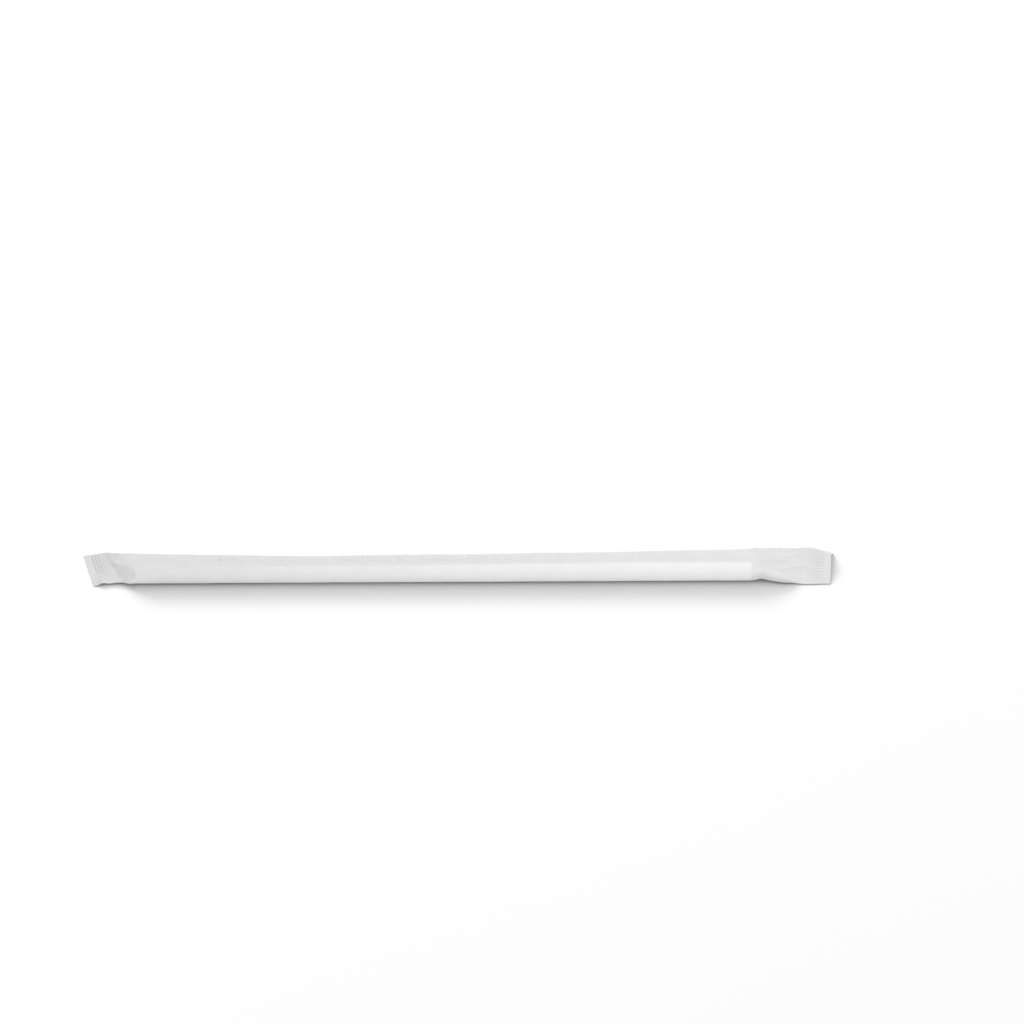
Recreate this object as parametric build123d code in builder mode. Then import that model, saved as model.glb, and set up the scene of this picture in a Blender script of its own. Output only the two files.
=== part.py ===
import math
import os

from build123d import *

# The straw, a plain open tube.
straw_length = 197.0
straw_diameter = 6.0
straw_wall = 0.2

# The paper, one ply, and the room it leaves round the straw and past its ends.
paper = 0.12
straw_play = 0.08
end_play = 0.5

# The side seam: free paper from the straw to the seam, the seam's height angle, and its two-ply band.
side_run = 4.3
seam_lift = 7.0
seam_width = 3.75
seam_root = 0.3

# The knurl that presses the plies together, on the seam and on both end seals.
knurl_pitch = 0.94
rib_height = 0.16
seal_margin = 2.4
pit_columns = 4
pit_row_pitch = 1.15
pit_width = 0.5
pit_depth = 0.1
groove_columns = 3
groove_width = 0.3
groove_depth = 0.06

# The empty ends of the sleeve, which fall flat on the surface that the straw lies on.
left_overhang = 14.7
left_turn = 11.0
left_forward = 3.1
right_overhang = 25.7
right_forward = 2.7

# Half way along the right end the sleeve is still a little open.
slack_radius = 1.0
slack_forward = 2.3
slack_lift = 4.5
slack_share = 0.5
slit = 0.03

# Sizes that follow from the ones above.
sleeve_radius = straw_diameter / 2 + straw_play
straw_level = sleeve_radius + paper
seam_lead = math.degrees(math.atan(side_run / sleeve_radius))
half_girth = sleeve_radius * (math.pi - math.radians(seam_lead)) + side_run
flat_width = half_girth + seam_width
straw_end = straw_length / 2
round_end = straw_end + end_play
pits_end = seal_margin + pit_columns * knurl_pitch
seal_length = pits_end + groove_columns * knurl_pitch
pit_rows = int(flat_width / pit_row_pitch)


def panel_run(fold_radius):
    """Length of the straight paper from a fold to the seam, with the girth kept."""
    run = half_girth
    for step in range(40):
        run = half_girth - fold_radius * (math.pi - math.atan2(run, fold_radius))
    return run


def ray(length, angle):
    """Vector of a given length at an angle in the sketch."""
    return Vector(length, 0).rotate(Axis.Z, angle)


def nose_point(fold_radius, fold_centre, lift):
    """Where the two panels of the sleeve meet and the seam starts."""
    return fold_centre + ray(math.hypot(fold_radius, panel_run(fold_radius)), lift)


def inside_face(fold_radius, fold_centre, lift):
    """The space inside the sleeve: round at the fold, with two straight panels to the seam."""
    lead = math.degrees(math.atan2(panel_run(fold_radius), fold_radius))
    nose = nose_point(fold_radius, fold_centre, lift)
    with BuildLine() as outline:
        CenterArc(fold_centre, fold_radius, lift + lead, 360 - 2 * lead)
        Line(fold_centre + ray(fold_radius, lift - lead), nose)
        Line(nose, fold_centre + ray(fold_radius, lift + lead))
    make_face(outline.edges())


def outside_face(fold_radius, fold_centre, lift):
    """The sleeve's outside, one ply out from its inside, and squared off where the seam starts."""
    lead = math.degrees(math.atan2(panel_run(fold_radius), fold_radius))
    nose = nose_point(fold_radius, fold_centre, lift)
    upper = ray(1, lift + lead)
    lower = ray(1, lift - lead)
    radius = fold_radius + paper
    with BuildLine() as outline:
        CenterArc(fold_centre, radius, lift + lead, 360 - 2 * lead)
        Line(fold_centre + lower * radius, nose + lower * paper)
        Line(nose + lower * paper, nose + upper * paper)
        Line(nose + upper * paper, fold_centre + upper * radius)
    make_face(outline.edges())


def seal_face(forward):
    """The two plies of an end seal, lying flat, with the fold's round at the near side."""
    with Locations((paper - forward, paper)):
        Circle(paper)
        Rectangle(flat_width, 2 * paper, align=(Align.MIN, Align.CENTER))


# Where each shape of the sleeve lies: along the straw, half fallen, and flat at the two seals.
left_across = Vector(0, 1, 0).rotate(Axis.Z, left_turn)
left_along = Vector(1, 0, 0).rotate(Axis.Z, left_turn)
left_cut = Plane(origin=(-straw_end - left_overhang, 0, 0), x_dir=left_across, z_dir=left_along)
left_seal = left_cut.offset(seal_length)
left_round = Plane.YZ.offset(-round_end)
right_round = Plane.YZ.offset(round_end)
right_cut = Plane.YZ.offset(straw_end + right_overhang)
right_seal = right_cut.offset(-seal_length)
slack_place = round_end + slack_share * (right_seal.origin.X - round_end)
right_slack = Plane.YZ.offset(slack_place)

around_straw = (sleeve_radius, Vector(0, straw_level), seam_lift)
half_fallen = (slack_radius, Vector(slack_radius - slack_forward, slack_radius + paper), slack_lift)
left_flat = (0, Vector(-left_forward, paper), 0)
right_flat = (0, Vector(-right_forward, paper), 0)
slit_left = (slit, Vector(slit - left_forward, paper), 0)
slit_right = (slit, Vector(slit - right_forward, paper), 0)

# The seam's inner line, seen from above and from the side, from the left seal to the right one.
left_nose = left_seal.from_local_coords(nose_point(*left_flat))
round_nose = nose_point(*around_straw)
slack_nose = nose_point(*half_fallen)
right_nose = right_seal.from_local_coords(nose_point(*right_flat))
left_band = left_seal.from_local_coords(nose_point(*left_flat) + Vector(seam_width, 0))
seam_line = [
    (left_band.X, left_nose.Z + rib_height / 2),
    (left_nose.X, left_nose.Z + rib_height / 2),
    (-round_end, round_nose.Y),
    (round_end, round_nose.Y),
    (slack_place, slack_nose.Y),
    (right_nose.X, right_nose.Z + rib_height / 2),
]


def seam_level(x):
    """Height of the middle of the seam at a place along the straw."""
    for (x0, level0), (x1, level1) in zip(seam_line, seam_line[1:]):
        if x <= x1:
            return level0 + (level1 - level0) * (x - x0) / (x1 - x0)
    return seam_line[-1][1]


# The knurled band of the seam: two plies pressed into cross ribs, cut to its outline from above.
rib_steps = 2 * math.ceil((right_nose.X - left_band.X) / knurl_pitch)
band_top = []
band_bottom = []
for step in range(rib_steps + 1):
    x = left_band.X + step * knurl_pitch / 2
    level = seam_level(x) + rib_height / 2 * (-1) ** step
    band_top.append((x, level + paper))
    band_bottom.append((x, level - paper))

with BuildPart() as seam:
    with BuildSketch(Plane.XZ):
        with BuildLine():
            Polyline(band_top + band_bottom[::-1], close=True)
        make_face()
    extrude(amount=-2 * flat_width)
    with BuildSketch(Plane.XY):
        with BuildLine():
            Polyline(
                (left_nose.X, left_nose.Y - seam_root),
                (-round_end, round_nose.X - seam_root),
                (round_end, round_nose.X - seam_root),
                (slack_place, slack_nose.X - seam_root),
                (right_nose.X, right_nose.Y - seam_root),
                (right_nose.X, right_nose.Y + seam_width),
                (slack_place, slack_nose.X + seam_width),
                (round_end, round_nose.X + seam_width),
                (-round_end, round_nose.X + seam_width),
                (left_band.X, left_band.Y),
                close=True,
            )
        make_face()
    extrude(amount=2 * straw_level, mode=Mode.INTERSECT)

# One pit of the seals' knurl, a small square pyramid that points down.
with BuildPart() as pit:
    with BuildSketch() as pit_mouth:
        Rectangle(pit_width, pit_width)
    loft(sections=[pit_mouth.sketch.face(), Vertex(0, 0, -pit_depth)])

# One groove, where the knurl fades out towards the straw, across the whole width of a seal.
with BuildPart() as groove:
    with BuildSketch(Plane.XZ):
        with BuildLine():
            Polyline((-groove_width / 2, 0), (0, -groove_depth), (groove_width / 2, 0), close=True)
        make_face()
    extrude(amount=flat_width, both=True)


def end_seal(cut, inward, forward):
    """Two plies pressed flat: a plain margin at the cut, rows of pits, then a few cross grooves."""
    middle = cut.origin + cut.x_dir * (flat_width / 2 - forward)
    pits_middle = middle + inward * (seal_margin + pits_end) / 2
    grooves_middle = middle + inward * (pits_end + seal_length) / 2
    with BuildPart() as seal:
        with BuildSketch(cut):
            seal_face(forward)
        extrude(amount=seal_length, dir=inward)
        for level, up, fewer in ((2 * paper, 1, 0), (0, -1, 1)):
            height = Vector(0, 0, level)
            with Locations(Plane(pits_middle + height, x_dir=inward, z_dir=(0, 0, up))):
                with GridLocations(knurl_pitch, pit_row_pitch, pit_columns - fewer, pit_rows - fewer):
                    add(pit.part, mode=Mode.SUBTRACT)
            with Locations(Plane(grooves_middle + height, x_dir=inward, z_dir=(0, 0, up))):
                with GridLocations(knurl_pitch, knurl_pitch, groove_columns - fewer, 1):
                    add(groove.part, mode=Mode.SUBTRACT)
    return seal.part


# The sleeve: outside first, then the seam and the seals, then the space inside.
with BuildPart() as wrapper:
    with BuildSketch(left_round):
        outside_face(*around_straw)
    extrude(amount=2 * round_end)
    with BuildSketch(left_seal):
        outside_face(*left_flat)
    with BuildSketch(left_round):
        outside_face(*around_straw)
    loft(ruled=True)
    with BuildSketch(right_round):
        outside_face(*around_straw)
    with BuildSketch(right_slack):
        outside_face(*half_fallen)
    with BuildSketch(right_seal):
        outside_face(*right_flat)
    loft(ruled=True)
    add(end_seal(left_cut, left_along, left_forward))
    add(end_seal(right_cut, Vector(-1, 0, 0), right_forward))
    add(seam.part)

    with BuildSketch(left_round):
        inside_face(*around_straw)
    extrude(amount=2 * round_end, mode=Mode.SUBTRACT)
    with BuildSketch(left_seal):
        inside_face(*slit_left)
    with BuildSketch(left_round):
        inside_face(*around_straw)
    loft(ruled=True, mode=Mode.SUBTRACT)
    with BuildSketch(right_round):
        inside_face(*around_straw)
    with BuildSketch(right_slack):
        inside_face(*half_fallen)
    with BuildSketch(right_seal):
        inside_face(*slit_right)
    loft(ruled=True, mode=Mode.SUBTRACT)

# The straw, lying in the sleeve.
with BuildPart() as straw:
    with BuildSketch(Plane.YZ.offset(-straw_end)):
        with Locations((0, straw_level)):
            Circle(straw_diameter / 2)
            Circle(straw_diameter / 2 - straw_wall, mode=Mode.SUBTRACT)
    extrude(amount=straw_length)

# The origin is below the middle of the whole, on the surface that it lies on.
outer = wrapper.part.bounding_box()
to_origin = Location((-outer.center().X, -outer.center().Y, -outer.min.Z))
wrapper.part.move(to_origin)
straw.part.move(to_origin)

os.makedirs("parts", exist_ok=True)
wrapper.part.label = "wrapper"
straw.part.label = "straw"
export_step(wrapper.part, "parts/wrapper.step")
export_step(straw.part, "parts/straw.step")
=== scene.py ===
import math

import bmesh
import bpy
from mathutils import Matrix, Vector, noise


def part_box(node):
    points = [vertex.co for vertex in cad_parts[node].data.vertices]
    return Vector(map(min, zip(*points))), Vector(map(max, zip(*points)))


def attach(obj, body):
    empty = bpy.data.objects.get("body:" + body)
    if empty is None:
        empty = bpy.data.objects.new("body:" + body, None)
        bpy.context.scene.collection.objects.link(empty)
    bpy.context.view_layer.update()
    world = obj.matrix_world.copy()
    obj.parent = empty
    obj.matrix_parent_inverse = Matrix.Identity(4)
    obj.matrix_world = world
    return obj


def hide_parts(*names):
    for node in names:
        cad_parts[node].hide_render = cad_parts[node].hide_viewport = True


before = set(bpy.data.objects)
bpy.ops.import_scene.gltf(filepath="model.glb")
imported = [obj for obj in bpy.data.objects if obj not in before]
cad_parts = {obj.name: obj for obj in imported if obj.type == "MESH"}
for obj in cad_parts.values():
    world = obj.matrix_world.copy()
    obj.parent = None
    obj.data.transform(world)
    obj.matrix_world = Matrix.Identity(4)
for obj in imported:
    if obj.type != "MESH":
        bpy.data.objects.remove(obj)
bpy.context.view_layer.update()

# The paper sleeve: one sheet of thin white paper, folded lengthwise round the straw and closed by a
# knurled seam along its far side. Both empty ends are pressed flat by a knurl and cut off.
# It is made flat, as a grid, and every point of the grid is then carried to its folded place.
straw_low, straw_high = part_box("straw")
axis_y = (straw_low.y + straw_high.y) / 2
axis_z = (straw_low.z + straw_high.z) / 2

ply = 0.00008
ply_gap = 0.0001
sleeve_radius = 0.00316
half_girth = 0.01105
seam_width = 0.00375
flat_width = half_girth + seam_width
left_cut = straw_low.x - 0.0147
right_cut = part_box("wrapper")[1].x

# The flat grid, finer at both ends and along the seam, where the knurl is.
knurl_pitch = 0.00094
sheet_columns = round((right_cut - left_cut) / knurl_pitch)
sheet_rows = 64
column = (right_cut - left_cut) / sheet_columns
row = 2 * flat_width / sheet_rows
fine_left = straw_low.x + 0.003
fine_right = straw_high.x - 0.002
pressed_left = left_cut + 10 * column
pressed_right = right_cut - 10 * column
seam_start = flat_width - 9 * row

sheet = bmesh.new()
bmesh.ops.create_grid(sheet, x_segments=sheet_columns, y_segments=sheet_rows, size=1)
for point in sheet.verts:
    point.co.x = left_cut + (point.co.x + 1) / 2 * (right_cut - left_cut)
    point.co.y *= flat_width

tiny = row / 100
along_edges = []
for edge in sheet.edges:
    start, end = (v.co for v in edge.verts)
    middle = (start + end) / 2
    at_end = middle.x < fine_left or middle.x > fine_right
    if abs(start.y - end.y) < tiny and (at_end or abs(middle.y) > seam_start - tiny):
        along_edges.append(edge)
bmesh.ops.subdivide_edges(sheet, edges=along_edges, cuts=3)
across_edges = []
for edge in sheet.edges:
    start, end = (v.co for v in edge.verts)
    pressed = start.x < pressed_left + tiny or start.x > pressed_right - tiny
    if abs(start.x - end.x) < tiny and pressed:
        across_edges.append(edge)
bmesh.ops.subdivide_edges(sheet, edges=across_edges, cuts=1)


def smooth_step(value):
    value = max(0.0, min(1.0, value))
    return value * value * (3 - 2 * value)


def between(place, stations):
    """Values at a place, on smooth curves through the stations, each a place and its values."""
    places = [s[0] for s in stations]
    if place <= places[0]:
        return stations[0][1:]
    if place >= places[-1]:
        return stations[-1][1:]
    i = max(k for k in range(len(places) - 1) if places[k] <= place)
    width = places[i + 1] - places[i]
    t = (place - places[i]) / width
    found = []
    for k in range(1, len(stations[i])):
        here, there = stations[i][k], stations[i + 1][k]
        before, after = max(i - 1, 0), min(i + 2, len(places) - 1)
        slope_here = (there - stations[before][k]) / (places[i + 1] - places[before])
        slope_there = (stations[after][k] - here) / (places[after] - places[i])
        found.append(
            here * (1 - t) ** 2 * (1 + 2 * t)
            + there * t * t * (3 - 2 * t)
            + slope_here * width * t * (1 - t) ** 2
            - slope_there * width * t * t * (1 - t)
        )
    return found


# Across the sleeve: how the lower ply follows the upper one's bulge, how softly the panels bend into
# the seam and how flat the sleeve is by then, and how much a shallow arch shortens a panel.
lower_share = -0.3
soft_bend = 0.0025
soft_below = 0.001
arch_shortens = 2.67


def panel_run(fold_radius):
    """Straight paper from the fold to the seam, with the girth kept."""
    run = half_girth
    for step in range(12):
        run = half_girth - fold_radius * (math.pi - math.atan2(run, fold_radius))
    return run


def section_point(across, fold_radius, fold_y, fold_z, lift, seam_turn, bulge):
    """Place in a cross-section: round at the fold, a straight panel, then the seam's band.

    Where the sleeve is flat, the panel bends softly into the seam.
    """
    side = 1 if across >= 0 else -1
    distance = abs(across)
    run = panel_run(fold_radius)
    lead = math.atan2(run, fold_radius)
    bend = fold_radius * (math.pi - lead)
    shorter = 1 - arch_shortens * (bulge / run) ** 2
    reach = math.hypot(fold_radius, run) * shorter
    nose_y = fold_y + reach * math.cos(lift)
    nose_z = fold_z + reach * math.sin(lift)
    if distance <= bend:
        angle = lift + math.pi - side * distance / fold_radius
        y = fold_y + fold_radius * math.cos(angle)
        z = fold_z + fold_radius * math.sin(angle)
    elif distance <= half_girth:
        share = (distance - bend) / run
        angle = lift + side * lead
        y = (1 - share) * (fold_y + fold_radius * math.cos(angle)) + share * nose_y
        z = (1 - share) * (fold_z + fold_radius * math.sin(angle)) + share * nose_z
    else:
        y = nose_y + (distance - half_girth) * math.cos(seam_turn)
        z = nose_z + (distance - half_girth) * math.sin(seam_turn)
    soft = soft_bend * (1 - smooth_step(fold_radius / soft_below))
    if abs(distance - half_girth) < soft:
        share = (distance - half_girth + soft) / (2 * soft)
        y = nose_y - soft * ((1 - share) ** 2 * math.cos(lift) - share ** 2 * math.cos(seam_turn))
        z = nose_z - soft * ((1 - share) ** 2 * math.sin(lift) - share ** 2 * math.sin(seam_turn))
    apart = side * ply_gap / 2 * smooth_step(distance / half_girth)
    arch = bulge * math.sin(math.pi * min(distance / half_girth, 1)) * (1 if side > 0 else lower_share)
    return y - side * arch * math.sin(lift), z + apart + side * arch * math.cos(lift)


# Along the straw: fold radius, fold place across and up, lift of the panels, turn of the seam, and
# how far the upper ply bulges.
left_seal = left_cut + 0.009
right_seal = right_cut - 0.009
flat_fold = 0.00006
flat_bulge = 0.0001
degree = math.radians(1)
sleeve_stations = [
    (straw_low.x - 0.020, sleeve_radius, 0, axis_z, 1 * degree, 2 * degree, 0),
    (straw_low.x - 0.005, sleeve_radius, 0, axis_z, 0.5 * degree, 2 * degree, 0),
    (straw_low.x + 0.002, sleeve_radius, 0, axis_z, 0, -2 * degree, 0),
    (straw_low.x + 0.010, sleeve_radius, 0, axis_z, -0.5 * degree, -6 * degree, 0),
    (straw_low.x + 0.033, sleeve_radius, 0, axis_z, -2 * degree, -12 * degree, 0),
    (straw_low.x + 0.056, sleeve_radius, 0, axis_z, -3.5 * degree, -17 * degree, 0),
    (straw_low.x + 0.076, sleeve_radius, 0, axis_z, -3.5 * degree, -13 * degree, 0),
    (straw_low.x + 0.094, sleeve_radius, 0, axis_z, -2 * degree, -12.5 * degree, 0),
    (straw_low.x + 0.110, sleeve_radius, 0, axis_z, 0.7 * degree, -15.5 * degree, 0),
    (straw_low.x + 0.125, sleeve_radius, 0, axis_z, 2 * degree, -12 * degree, 0),
    (straw_low.x + 0.151, sleeve_radius, 0, axis_z, 3.2 * degree, -10 * degree, 0),
    (straw_high.x - 0.026, sleeve_radius, 0, axis_z, 7.5 * degree, -7 * degree, 0),
    (straw_high.x - 0.010, sleeve_radius, 0, axis_z, 8.5 * degree, -5 * degree, 0),
    (straw_high.x, sleeve_radius, 0, axis_z, 10 * degree, 1 * degree, 0),
    (straw_high.x + 0.0012, 0.0027, -0.0003, 0.0030, 4 * degree, 2 * degree, 0),
    (straw_high.x + 0.003, 0.0021, -0.0006, 0.00275, -3 * degree, 2 * degree, 0.0005),
    (straw_high.x + 0.0077, 0.0013, -0.0018, 0.0018, 3 * degree, 3 * degree, 0.0006),
    (straw_high.x + 0.0141, 0.0002, -0.0032, 0.0007, 5.3 * degree, 2.5 * degree, 0.0009),
    (right_seal, flat_fold, -0.0034, 0.0003, 8.5 * degree, 1 * degree, flat_bulge),
    (right_cut - 0.006, flat_fold, -0.0034, 0.0003, 9.5 * degree, -4 * degree, flat_bulge),
    (right_cut, flat_fold, -0.0032, 0.0002, 12.5 * degree, -40 * degree, flat_bulge),
]

# The right cut leans a little, and its far corner flares.
right_lean = 0.07
right_flare = 0.0006
flare_length = 0.003
lean_middle = 0.004

# The left end is turned a little. It hovers past its seal, and its near corner is lifted there.
left_turn = 16 * degree
left_forward = 0.00278
forward_at_straw = 0.0029
left_fold_z = 0.00013
fold_rise = 0.0002
left_shift = 0.0017
narrower_at_cut = 0.96
narrower_inside = 0.935
left_back = 0.0002
left_hover = 0.0009
hover_start = 0.0015
hover_length = 0.007
notch = 0.0030
notch_length = 0.0016
notch_lift = 0.0009
notch_reach = 0.0035


def left_flat_point(along, across):
    """Place in the flat left end of the sleeve."""
    inward = along - left_cut
    seal_length = left_seal - left_cut
    past = smooth_step((along - left_seal) / (straw_low.x - left_seal))
    turn = left_turn * (1 - past)
    spine_x = left_cut - left_back * (1 - past) + inward * math.cos(turn)
    spine_y = left_shift * smooth_step(inward / seal_length) * (1 - past)
    hover = left_hover * smooth_step((inward - hover_start) / hover_length)
    forward = left_forward + (forward_at_straw - left_forward) * past + hover
    fold_z = left_fold_z + fold_rise * past + hover
    y, z = section_point(across, flat_fold, flat_fold - forward, fold_z, 0, 0, flat_bulge)
    if y > 0:
        share = smooth_step(inward / seal_length)
        y *= narrower_at_cut + (narrower_inside - narrower_at_cut) * share
    near_notch = ((inward - notch) / notch_length) ** 2 + (across / notch_reach) ** 2
    z += notch_lift * math.exp(-near_notch)
    return Vector((spine_x - math.sin(turn) * y, axis_y + spine_y + math.cos(turn) * y, z))


# Past the straw's left end three slanting lines cross the sleeve: the paper leaves the straw on the
# first, falls off from the second, and is flat from the third. Each has a slant, and a place along
# the straw at some distance from the fold.
open_slant = 0.46
open_place = straw_low.x + 0.0001
open_distance = 0.0009
ridge_slant = 0.93
ridge_place = straw_low.x - 0.0008
ridge_distance = 0.0025
flat_slant = 0.12
flat_place = straw_low.x - 0.0062
least_facet = 0.0002
least_fall = 0.0006


def crease_lines(distance):
    """Where the paper leaves the straw's left end, its slanting ridge, and where it is flat."""
    open_until = open_place - open_slant * (distance - open_distance)
    ridge = min(ridge_place - ridge_slant * (distance - ridge_distance), open_until - least_facet)
    flat_from = flat_place - flat_slant * distance
    return open_until, max(ridge, flat_from + least_fall), flat_from


# How far it has fallen at the ridge, near the fold and more on the far side, how it falls from there,
# how the fold is squeezed on the way, and the ridge itself, whose slant makes it wider along the straw.
fallen_at_ridge = 0.15
fallen_far_side = 0.65
far_side_start = 0.004
far_side_length = 0.005
fall_curve = 1.5
squeeze = 0.00025
squeeze_reach = 0.003
ridge_height = 0.0003
ridge_width = 0.0012
ridge_widened = 1.37
ridge_start = 0.001
ridge_end = 0.0105
ridge_fade = 0.002


def folded(along, across):
    """Place of a point of the sheet in the folded sleeve."""
    distance = abs(across)
    y, z = section_point(across, *between(along, sleeve_stations))
    past = smooth_step((along - straw_high.x) / (right_seal - straw_high.x))
    flare = right_flare * smooth_step((distance - half_girth) / seam_width)
    flare *= smooth_step((along - right_cut + flare_length) / flare_length)
    point = Vector((along + right_lean * past * (y - lean_middle) + flare, axis_y + y, z))
    open_until, ridge, flat_from = crease_lines(distance)
    if along >= open_until:
        return point
    far_side = smooth_step((distance - far_side_start) / far_side_length)
    at_ridge = fallen_at_ridge + fallen_far_side * far_side
    if along > ridge:
        fallen = at_ridge * (open_until - along) / (open_until - ridge)
    else:
        left = max(0.0, (along - flat_from) / (ridge - flat_from))
        fallen = 1 - (1 - at_ridge) * left ** fall_curve
    point = point.lerp(left_flat_point(along, across), fallen)
    point.y -= squeeze * 4 * fallen * (1 - fallen) * math.exp(-((across / squeeze_reach) ** 2))
    if across > 0:
        height = ridge_height * max(0.0, 1 - abs(along - ridge) / ridge_widened / ridge_width)
        height *= smooth_step((across - ridge_start) / ridge_fade)
        height *= smooth_step((ridge_end - across) / ridge_fade)
        point.z += height
    return point


# Pits of the end seals: how deep each column is, from the cut inwards, then the fading grooves. They
# are shallower near the fold. Each pit is painted darker, partly painted shade and partly the greyer
# look of pressed paper, and at the left the painted shade is darker on the far side.
pit_depth = 0.00012
left_columns = (1, 1, 1, 0.5)
right_columns = (0.7, 1, 1, 0.9)
grooves = (0.22, 0.16, 0.1)
groove_between_rows = 0.4
seal_margin = 2.75 * column
pit_row_pitch = 2.5 * row
column_slope = 3
row_slope = 3.5
near_fold = 0.5
near_fold_start = 0.001
near_fold_length = 0.003
least_pit_shade = 0.35
right_pit_shade = 0.15
far_shade_start = 0.004
far_shade_length = 0.004


def knurled(along, distance):
    """How deep the end seals are pressed, and how dark they are painted: painted shade in the pits."""
    from_cut = min(along - left_cut, right_cut - along)
    columns = (from_cut - seal_margin) / column
    pit_rows = distance / pit_row_pitch
    number = round(columns)
    near_column = max(0.0, 1 - column_slope * abs(columns - number))
    near_row = max(0.0, 1 - row_slope * abs(pit_rows - round(pit_rows)))
    pits = left_columns if along < 0 else right_columns
    if 0 <= number < len(pits):
        depth = near_column * near_row * pits[number]
    elif len(pits) <= number < len(pits) + len(grooves):
        depth = near_column * (groove_between_rows + (1 - groove_between_rows) * near_row)
        depth *= grooves[number - len(pits)]
    else:
        return 0, 0
    depth *= near_fold + (1 - near_fold) * smooth_step((distance - near_fold_start) / near_fold_length)
    far_side_shade = smooth_step((distance - far_shade_start) / far_shade_length) if along < 0 else right_pit_shade
    return depth, depth * (least_pit_shade + (1 - least_pit_shade) * far_side_shade)


# Cross ribs of the seam: bold at the seam's root towards the left, fainter at the right, weaker just
# past the straw's left end, and gone where the end seals' pits start.
# The rib height also paints the crests paler and the grooves darker, a painted shading.
rib_height = 0.00011
rib_lean = 0.18
bold_rib = 1.5
bold_rib_taper = 0.75
faint_rib = 0.5
rib_change = straw_low.x + 0.115
rib_change_length = 0.02
rib_weak_end = 0.5
rib_weak_length = 0.03
rib_margin = 0.0075
rib_fade = 0.002


def ribbed(along, distance):
    """Height of the seam's cross ribs, as a share of their usual one."""
    from_cut = min(along - left_cut, right_cut - along)
    outer_share = max(0.0, (distance - half_girth) / seam_width)
    far_right = smooth_step((along - rib_change) / rib_change_length)
    strength = (1 - far_right) * bold_rib * (1 - bold_rib_taper * outer_share) + far_right * faint_rib
    strength *= rib_weak_end + (1 - rib_weak_end) * smooth_step((along - straw_low.x) / rib_weak_length)
    strength *= smooth_step((from_cut - rib_margin) / rib_fade)
    rib_phase = (along - left_cut + rib_lean * (distance - half_girth)) / column
    return strength * math.cos(2 * math.pi * rib_phase)


# The sleeve counts as empty from this far past the straw's ends.
empty_length = 0.004


def past_straw(along):
    """Rises to 1 where the sleeve is empty, past either end of the straw."""
    past_right = smooth_step((along - straw_high.x) / empty_length)
    return past_right + smooth_step((straw_low.x - along) / empty_length)


# The paper is painted paler where it lies against the straw, as far as this on both sides of the fold:
# painted light for the straw showing through. The band grows wider and, in steps, paler towards the
# right: where a step starts, its length and amount. The sleeve gets painted shade where it is empty,
# and painted light on the facet past the straw's left end.
band_reach = 0.0045
band_widens = 0.0014
widens_start = straw_low.x + 0.0729
widens_length = 0.1
band_edge = 0.0004
palest_left = 0.2
paler_steps = [
    (straw_low.x + 0.0079, 0.055, 0.8),
    (straw_low.x + 0.0579, 0.065, 0.7),
    (straw_low.x + 0.1329, 0.040, 0.3),
]
empty_shade_left = 0.2
empty_shade_right = 0.6
facet_painted_light = 0.9
facet_edge = 0.0005


def paper_painted_light_and_shade(along, distance):
    """Painted light and shade on the paper: paler over the straw and on the left facet, darker where
    empty.
    """
    open_until, ridge = crease_lines(distance)[:2]
    reach = band_reach + band_widens * smooth_step((along - widens_start) / widens_length)
    painted_light_and_shade = smooth_step((along - open_until) / band_edge)
    painted_light_and_shade *= smooth_step((straw_high.x - along) / band_edge)
    painted_light_and_shade *= smooth_step((reach + band_edge - distance) / (2 * band_edge))
    painted_glow = palest_left
    for start, length, amount in paler_steps:
        painted_glow += amount * smooth_step((along - start) / length)
    # Painted shade where the sleeve is empty.
    empty = past_straw(along) * (empty_shade_left if along < 0 else empty_shade_right)
    facet = smooth_step((along - ridge) / facet_edge) * smooth_step((open_until - along) / facet_edge)
    return painted_light_and_shade * painted_glow - empty + facet_painted_light * facet


# The paper stands off the straw in soft waves, and wrinkles a little where it is empty.
wave = 0.00005
waves_along = 90
waves_across = 220
wrinkle = 0.00040
wrinkles_along = 160
wrinkles_slant = 60
wrinkles_across = 330
wrinkle_margin = 0.006
wrinkle_fade = 0.004


def loosened(along, across):
    """How far the paper stands off its folded place."""
    from_cut = min(along - left_cut, right_cut - along)
    loose = wave * (1 + noise.noise(Vector((along * waves_along, across * waves_across, 5))))
    spot = Vector((along * wrinkles_along + across * wrinkles_slant, across * wrinkles_across, 2))
    wrinkled = past_straw(along) * smooth_step((from_cut - wrinkle_margin) / wrinkle_fade)
    return loose + wrinkled * wrinkle * noise.noise(spot)


# Soft creases in the empty right end: where each starts and ends, along and across, and its height.
# Each has painted light on its far side and painted shade on its near side.
right_creases = [
    (Vector((straw_high.x + 0.0022, 0.0063)), Vector((straw_high.x + 0.0106, 0.0093)), 0.00024),
    (Vector((straw_high.x + 0.0099, 0.0104)), Vector((straw_high.x + 0.0148, 0.0122)), 0.00024),
    (Vector((straw_high.x + 0.0098, 0.0042)), Vector((straw_high.x + 0.0170, 0.0073)), 0.00024),
    (Vector((straw_high.x + 0.0012, 0.0017)), Vector((straw_high.x + 0.0111, 0.0009)), 0.00014),
]
crease_width = 0.0009
painted_crease_contrast = 5800


def creased(along, across):
    """How far the soft creases raise the upper side, and their painted light and shade."""
    raised = 0
    painted_crease_shade = 0
    for start, end, height in right_creases:
        line = end - start
        share = max(0.0, min(1.0, (Vector((along, across)) - start).dot(line) / line.length_squared))
        offset = Vector((along, across)) - start - share * line
        near_line = height * math.exp(-((offset.length / crease_width) ** 2))
        raised += near_line
        painted_crease_shade += near_line * offset.y / crease_width
    return raised, painted_crease_shade * painted_crease_contrast


# A small grey spot of glue shows on the seam, towards the left.
glue_x = straw_low.x + 0.0263
glue_across = half_girth + 0.0012
glue_radius = 0.0008
glue_tone = 0.12
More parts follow.
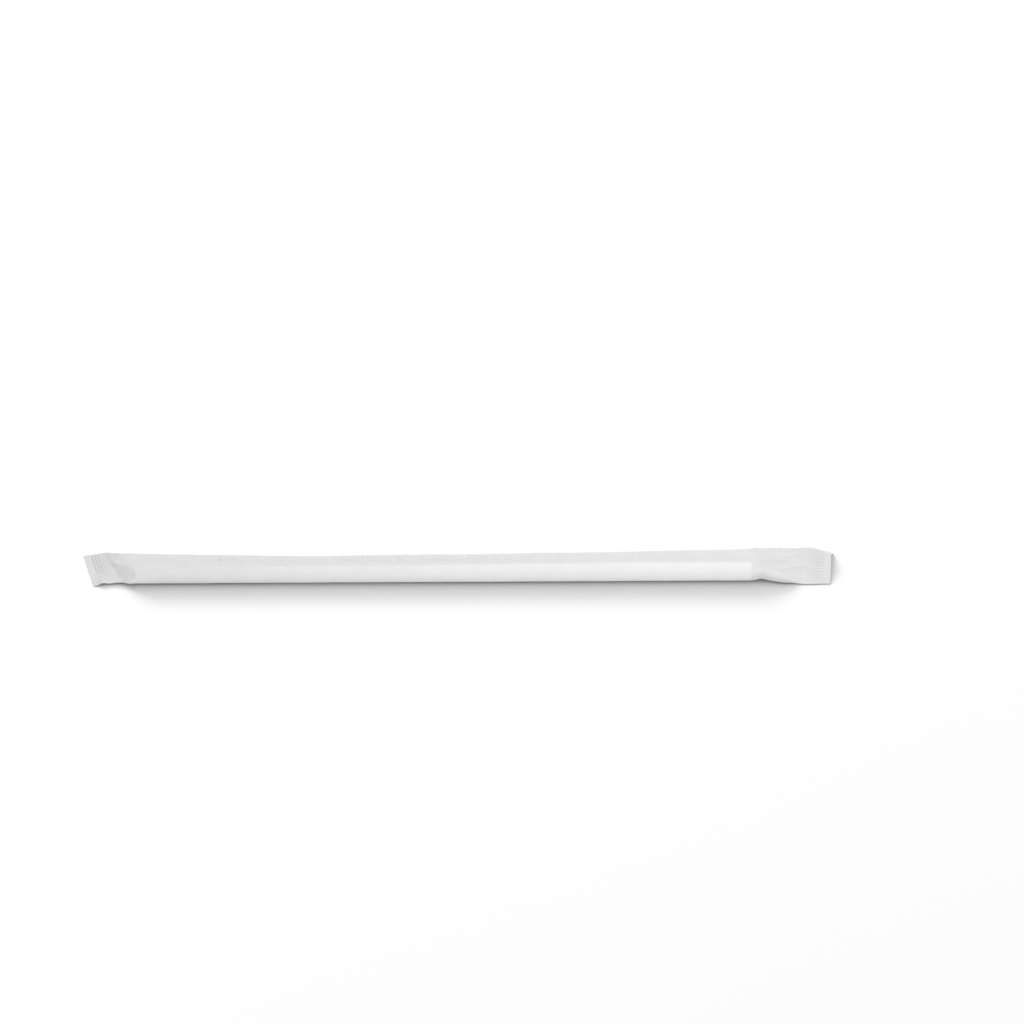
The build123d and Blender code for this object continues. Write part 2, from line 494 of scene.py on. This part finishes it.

# Every point is carried to its place, and stands off it squarely by the sum of these effects. Three
# attributes carry colour to the material: painted shade in the pits with the glue's own grey, painted
# shading of the ribs, and painted light and shade on the paper.
epsilon = 0.00002
seam_root = 0.0001
seam_root_length = 0.0004
pit_shade_and_glue_layer = sheet.verts.layers.float.new("pressed")
rib_layer = sheet.verts.layers.float.new("rib")
painted_light_and_shade_layer = sheet.verts.layers.float.new("painted_light_and_shade")
moves = []
for point in sheet.verts:
    along, across = point.co.x, point.co.y
    distance = abs(across)
    side = 1 if across >= 0 else -1
    place = folded(along, across)
    along_step = folded(along + epsilon, across) - place
    across_step = folded(along, across + epsilon) - place
    outward = along_step.cross(across_step).normalized()
    pit, pit_shade = knurled(along, distance)
    glue = ((along - glue_x) ** 2 + (distance - glue_across) ** 2) / glue_radius ** 2
    seam_share = smooth_step((distance - half_girth + seam_root) / seam_root_length)
    rib = seam_share * ribbed(along, distance)
    loose = (1 - seam_share) * loosened(along, across)
    raised, painted_crease_shade = creased(along, across) if along > straw_high.x else (0, 0)
    # Painted shade in the pits with the glue's own grey, and painted light and shade on the paper.
    point[pit_shade_and_glue_layer] = pit_shade + glue_tone * max(side, 0) * math.exp(-glue)
    point[rib_layer] = rib
    point[painted_light_and_shade_layer] = paper_painted_light_and_shade(along, distance) + painted_crease_shade
    place += outward * (loose + raised - side * pit * pit_depth + side * rib * rib_height)
    place.z = max(place.z, ply / 2)
    moves.append((point, place))
for point, place in moves:
    point.co = place
for edge in sheet.edges:
    edge.smooth = not edge.is_boundary
for face in sheet.faces:
    face.smooth = True

wrapper_mesh = bpy.data.meshes.new("paper_wrapper")
sheet.to_mesh(wrapper_mesh)
sheet.free()
wrapper = bpy.data.objects.new("paper_wrapper", wrapper_mesh)
bpy.context.scene.collection.objects.link(wrapper)
thickness = wrapper.modifiers.new("ply", "SOLIDIFY")
thickness.thickness = ply
thickness.offset = 0

# Soft noise about zero in a piece's own space, drawn out along the straw; also used by the straw.
mottling = bpy.data.node_groups.new("mottling", "ShaderNodeTree")
for socket_name in ("Scale", "Along", "Detail"):
    mottling.interface.new_socket(name=socket_name, in_out="INPUT", socket_type="NodeSocketFloat")
mottling.interface.new_socket(name="Value", in_out="OUTPUT", socket_type="NodeSocketFloat")
asked = mottling.nodes.new("NodeGroupInput")
given = mottling.nodes.new("NodeGroupOutput")
place = mottling.nodes.new("ShaderNodeTexCoord")
drawn_out = mottling.nodes.new("ShaderNodeCombineXYZ")
drawn_out.inputs["Y"].default_value = 1
drawn_out.inputs["Z"].default_value = 1
scaled = mottling.nodes.new("ShaderNodeVectorMath")
scaled.operation = "MULTIPLY"
grain = mottling.nodes.new("ShaderNodeTexNoise")
about_zero = mottling.nodes.new("ShaderNodeMath")
about_zero.operation = "SUBTRACT"
about_zero.inputs[1].default_value = 0.5
mottling.links.new(asked.outputs["Along"], drawn_out.inputs["X"])
mottling.links.new(place.outputs["Object"], scaled.inputs[0])
mottling.links.new(drawn_out.outputs["Vector"], scaled.inputs[1])
mottling.links.new(scaled.outputs["Vector"], grain.inputs["Vector"])
mottling.links.new(asked.outputs["Scale"], grain.inputs["Scale"])
mottling.links.new(asked.outputs["Detail"], grain.inputs["Detail"])
mottling.links.new(grain.outputs["Fac"], about_zero.inputs[0])
mottling.links.new(about_zero.outputs["Value"], given.inputs["Value"])

# Dry uncoated paper: matt, with fine fibres, soft clouds and faint cockles, and the painted light and
# shade carried by the attributes.
paper_white = 0.88
paper_roughness = 0.82
painted_light_contrast = 0.065
pit_shade_and_glue_contrast = 0.85
rib_painted_shading = 0.13
fibre_contrast = 0.06
cloud_contrast = 0.09
fibre_roughness = 0.3
fibre_relief = 0.00003
cockle_relief = 2
paper = bpy.data.materials.new("thin_white_paper")
paper.use_nodes = True
shader = paper.node_tree.nodes["Principled BSDF"]
shader.inputs["Specular IOR Level"].default_value = 0.2


def feed(socket, value):
    """Joins a socket to another one, or sets it to a number."""
    if hasattr(value, "is_linked"):
        socket.id_data.links.new(value, socket)
    else:
        socket.default_value = value


def worked_out(tree, operation, first, second, third=0):
    """A math node's result."""
    node = tree.nodes.new("ShaderNodeMath")
    node.operation = operation
    feed(node.inputs[0], first)
    feed(node.inputs[1], second)
    feed(node.inputs[2], third)
    return node.outputs["Value"]


def mottled(tree, scale, stretch, detail):
    """The shared noise, with its own scale, stretch and detail."""
    node = tree.nodes.new("ShaderNodeGroup")
    node.node_tree = mottling
    node.inputs["Scale"].default_value = scale
    node.inputs["Along"].default_value = 1 / stretch
    node.inputs["Detail"].default_value = detail
    return node.outputs["Value"]


def painted(tree, name):
    """What the piece's attribute of that name says."""
    node = tree.nodes.new("ShaderNodeAttribute")
    node.attribute_name = name
    return node.outputs["Fac"]


tree = paper.node_tree
fibres = mottled(tree, scale=2600, stretch=3, detail=2)
clouds = mottled(tree, scale=260, stretch=1.5, detail=3)
cockles = mottled(tree, scale=700, stretch=2.5, detail=2)
# Painted light and shade on the paper, painted shade in the pits with the glue's grey, painted shading
# of the ribs, then random fibres and clouds.
tone = worked_out(tree, "MULTIPLY_ADD", painted(tree, "painted_light_and_shade"), painted_light_contrast, 1)
for value, amount in (
    (painted(tree, "pressed"), -pit_shade_and_glue_contrast),
    (painted(tree, "rib"), rib_painted_shading),
    (fibres, fibre_contrast),
    (clouds, cloud_contrast),
):
    tone = worked_out(tree, "MULTIPLY_ADD", value, amount, tone)
level = worked_out(tree, "MULTIPLY", tone, paper_white)
colour = tree.nodes.new("ShaderNodeCombineColor")
for channel in ("Red", "Green", "Blue"):
    feed(colour.inputs[channel], level)
feed(shader.inputs["Base Color"], colour.outputs["Color"])
roughness = worked_out(tree, "MULTIPLY_ADD", fibres, fibre_roughness, paper_roughness)
feed(shader.inputs["Roughness"], roughness)
bump = tree.nodes.new("ShaderNodeBump")
bump.inputs["Distance"].default_value = fibre_relief
feed(bump.inputs["Height"], worked_out(tree, "MULTIPLY_ADD", cockles, cockle_relief, fibres))
feed(shader.inputs["Normal"], bump.outputs["Normal"])
wrapper_mesh.materials.append(paper)

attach(wrapper, "root")
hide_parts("wrapper")

# The straw: a plain open tube of white plastic, extruded, so that its faint lines run along it.
# It lies loose in the sleeve, and shows only as painted light, a paler band on the paper where the
# paper lies against it.
plastic_white = 0.92
plastic_roughness = 0.36
line_contrast = 0.03
line_roughness = 0.2
line_relief = 0.00001
plastic = bpy.data.materials.new("white_plastic")
plastic.use_nodes = True
tree = plastic.node_tree
shader = tree.nodes["Principled BSDF"]
shader.inputs["Specular IOR Level"].default_value = 0.5
lines = mottled(tree, scale=3000, stretch=60, detail=1)
haze = mottled(tree, scale=250, stretch=4, detail=2)
streaks = worked_out(tree, "ADD", lines, haze)
level = worked_out(tree, "MULTIPLY_ADD", streaks, line_contrast, plastic_white)
colour = tree.nodes.new("ShaderNodeCombineColor")
for channel in ("Red", "Green", "Blue"):
    feed(colour.inputs[channel], level)
feed(shader.inputs["Base Color"], colour.outputs["Color"])
roughness = worked_out(tree, "MULTIPLY_ADD", lines, line_roughness, plastic_roughness)
feed(shader.inputs["Roughness"], roughness)
bump = tree.nodes.new("ShaderNodeBump")
bump.inputs["Distance"].default_value = line_relief
feed(bump.inputs["Height"], lines)
feed(shader.inputs["Normal"], bump.outputs["Normal"])
for material_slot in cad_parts["straw"].material_slots:
    material_slot.material = plastic

# The surface that the straw lies on, plain white and far wider than the picture.
floor_reach = 6
floor_grey = 0.55
floor_mesh = bpy.data.meshes.new("floor")
plane = bmesh.new()
bmesh.ops.create_grid(plane, x_segments=1, y_segments=1, size=floor_reach)
plane.to_mesh(floor_mesh)
plane.free()
floor = bpy.data.objects.new("floor", floor_mesh)
bpy.context.scene.collection.objects.link(floor)
floor_paint = bpy.data.materials.new("floor_white")
floor_paint.use_nodes = True
floor_shader = floor_paint.node_tree.nodes["Principled BSDF"]
floor_shader.inputs["Base Color"].default_value = (floor_grey, floor_grey, floor_grey, 1)
floor_shader.inputs["Roughness"].default_value = 1
floor_shader.inputs["Specular IOR Level"].default_value = 0
floor_mesh.materials.append(floor_paint)

# Soft light from the whole room. A wide lamp low behind the straw and one above light the surface
# alone and give the long soft shadow. A soft box and a fill from the front light the straw alone.
room_brightness = 0.6
world = bpy.data.worlds.new("room")
world.use_nodes = True
world.node_tree.nodes["Background"].inputs["Color"].default_value = (1, 1, 1, 1)
world.node_tree.nodes["Background"].inputs["Strength"].default_value = room_brightness
bpy.context.scene.world = world


def area_lamp(name, size, depth, energy, place, lit):
    """A soft lamp that points at the straw and lights only the objects named."""
    data = bpy.data.lights.new(name, "AREA")
    data.shape = "RECTANGLE"
    data.size = size
    data.size_y = depth
    data.energy = energy
    lamp = bpy.data.objects.new(name, data)
    lamp.location = place
    lamp.rotation_euler = (-Vector(place)).to_track_quat("-Z", "Y").to_euler()
    bpy.context.scene.collection.objects.link(lamp)
    group = bpy.data.collections.new(name + "_lights")
    for piece in lit:
        group.objects.link(piece)
    lamp.light_linking.receiver_collection = group


straw_and_sleeve = [wrapper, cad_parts["straw"]]
area_lamp("window", size=2.6, depth=1, energy=120, place=(-1.5, 2.25, 1.4), lit=[floor])
area_lamp("ceiling", size=4, depth=4, energy=68, place=(0, 0.3, 2), lit=[floor])
area_lamp("soft_box", size=0.5, depth=0.5, energy=1.02, place=(0.14, 0.05, 0.5), lit=straw_and_sleeve)
area_lamp("front_fill", size=1, depth=0.6, energy=0.3, place=(0, -0.8, 0.4), lit=straw_and_sleeve)

# The camera looks down at the straw from the front, half way between level and overhead.
camera_data = bpy.data.cameras.new("camera")
camera_data.lens = 200
camera_data.sensor_width = 36
view_width = 0.3285
aim = Vector((0.01745, 0.02513, 0))
look_down = 45 * degree
swing = -0.40 * degree
back = Vector((
    math.sin(swing) * math.cos(look_down),
    -math.cos(swing) * math.cos(look_down),
    math.sin(look_down),
))
camera = bpy.data.objects.new("camera", camera_data)
nearer = (Vector((0, axis_y, axis_z)) - aim).dot(back)
camera.location = aim + back * (view_width * camera_data.lens / camera_data.sensor_width + nearer)
camera.rotation_euler = (-back).to_track_quat("-Z", "Y").to_euler()
camera_data.clip_start = 0.05
camera_data.clip_end = 50
bpy.context.scene.collection.objects.link(camera)
bpy.context.scene.camera = camera
bpy.context.scene.view_settings.view_transform = "Standard"
